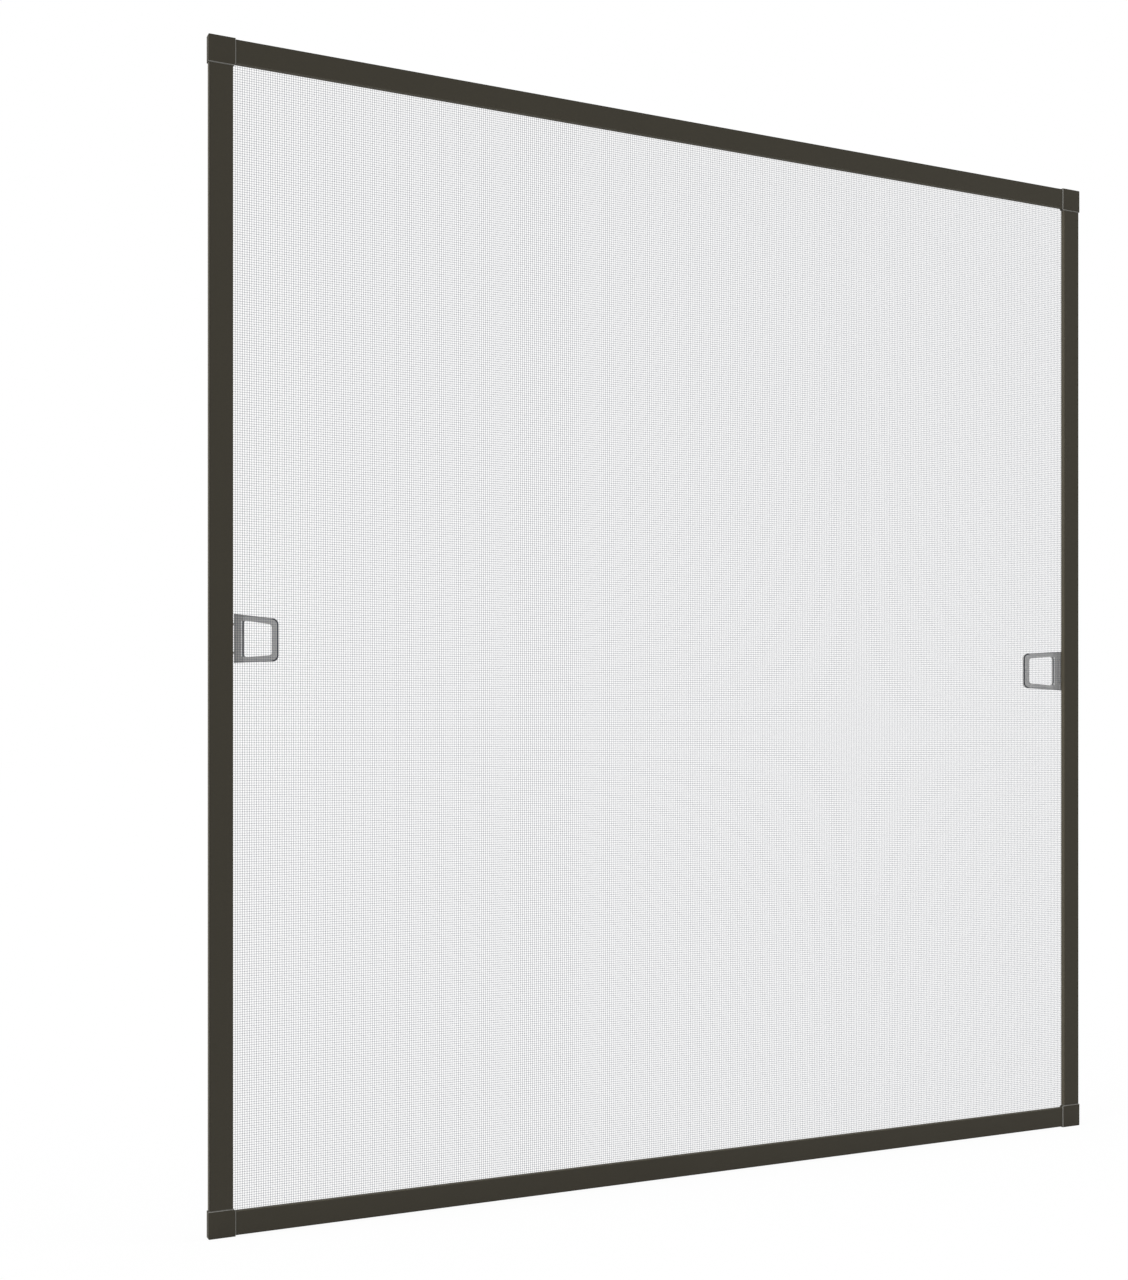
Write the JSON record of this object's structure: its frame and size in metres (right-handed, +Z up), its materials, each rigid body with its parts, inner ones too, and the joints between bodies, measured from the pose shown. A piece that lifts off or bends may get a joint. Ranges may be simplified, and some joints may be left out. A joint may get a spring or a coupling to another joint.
{
  "type": "window screen frame",
  "caption": "Upright insect screen frame of coated extruded rails on moulded corners, with mesh, brush seals, finger loops and hanging brackets.",
  "frame": {"origin": "bottom of the frame, in the middle of its width and of its depth", "axes": "+Z up along the upright rails, +Y from the outdoor side into the room, +X to the right as seen from outdoors"},
  "size_m": [1.4, 0.025, 1.5],
  "materials": {
    "coated_aluminium": "satin dark bronze-brown powder coat on extruded aluminium",
    "corner_plastic": "fine-textured moulded plastic in the rails' colour",
    "mesh_thread": "dark coated glass-fibre thread, plain weave",
    "cord_rubber": "soft black extruded cord",
    "brush_pile": "dark grey pile on a woven backing",
    "handle_plastic": "smooth mid-grey moulded plastic",
    "bracket_steel": "zinc-plated sheet steel",
    "screw_steel": "zinc-plated steel"
  },
  "bodies": {
    "root": {"rail_left": "coated_aluminium", "rail_top": "coated_aluminium", "rail_right": "coated_aluminium", "rail_bottom": "coated_aluminium", "corner_bottom_left": "corner_plastic", "corner_top_left": "corner_plastic", "corner_top_right": "corner_plastic", "corner_bottom_right": "corner_plastic", "insect_mesh": "mesh_thread", "cord_left": "cord_rubber", "brush_seal_left": "brush_pile", "cord_top": "cord_rubber", "brush_seal_top": "brush_pile", "cord_right": "cord_rubber", "brush_seal_right": "brush_pile", "cord_bottom": "cord_rubber", "brush_seal_bottom": "brush_pile", "handle_left": "handle_plastic", "handle_right": "handle_plastic", "hanger_top_left": "bracket_steel", "hanger_top_right": "bracket_steel", "hanger_bottom_left": "bracket_steel", "hanger_bottom_right": "bracket_steel", "hanger_screws": "screw_steel"}
  },
  "joints": []
}
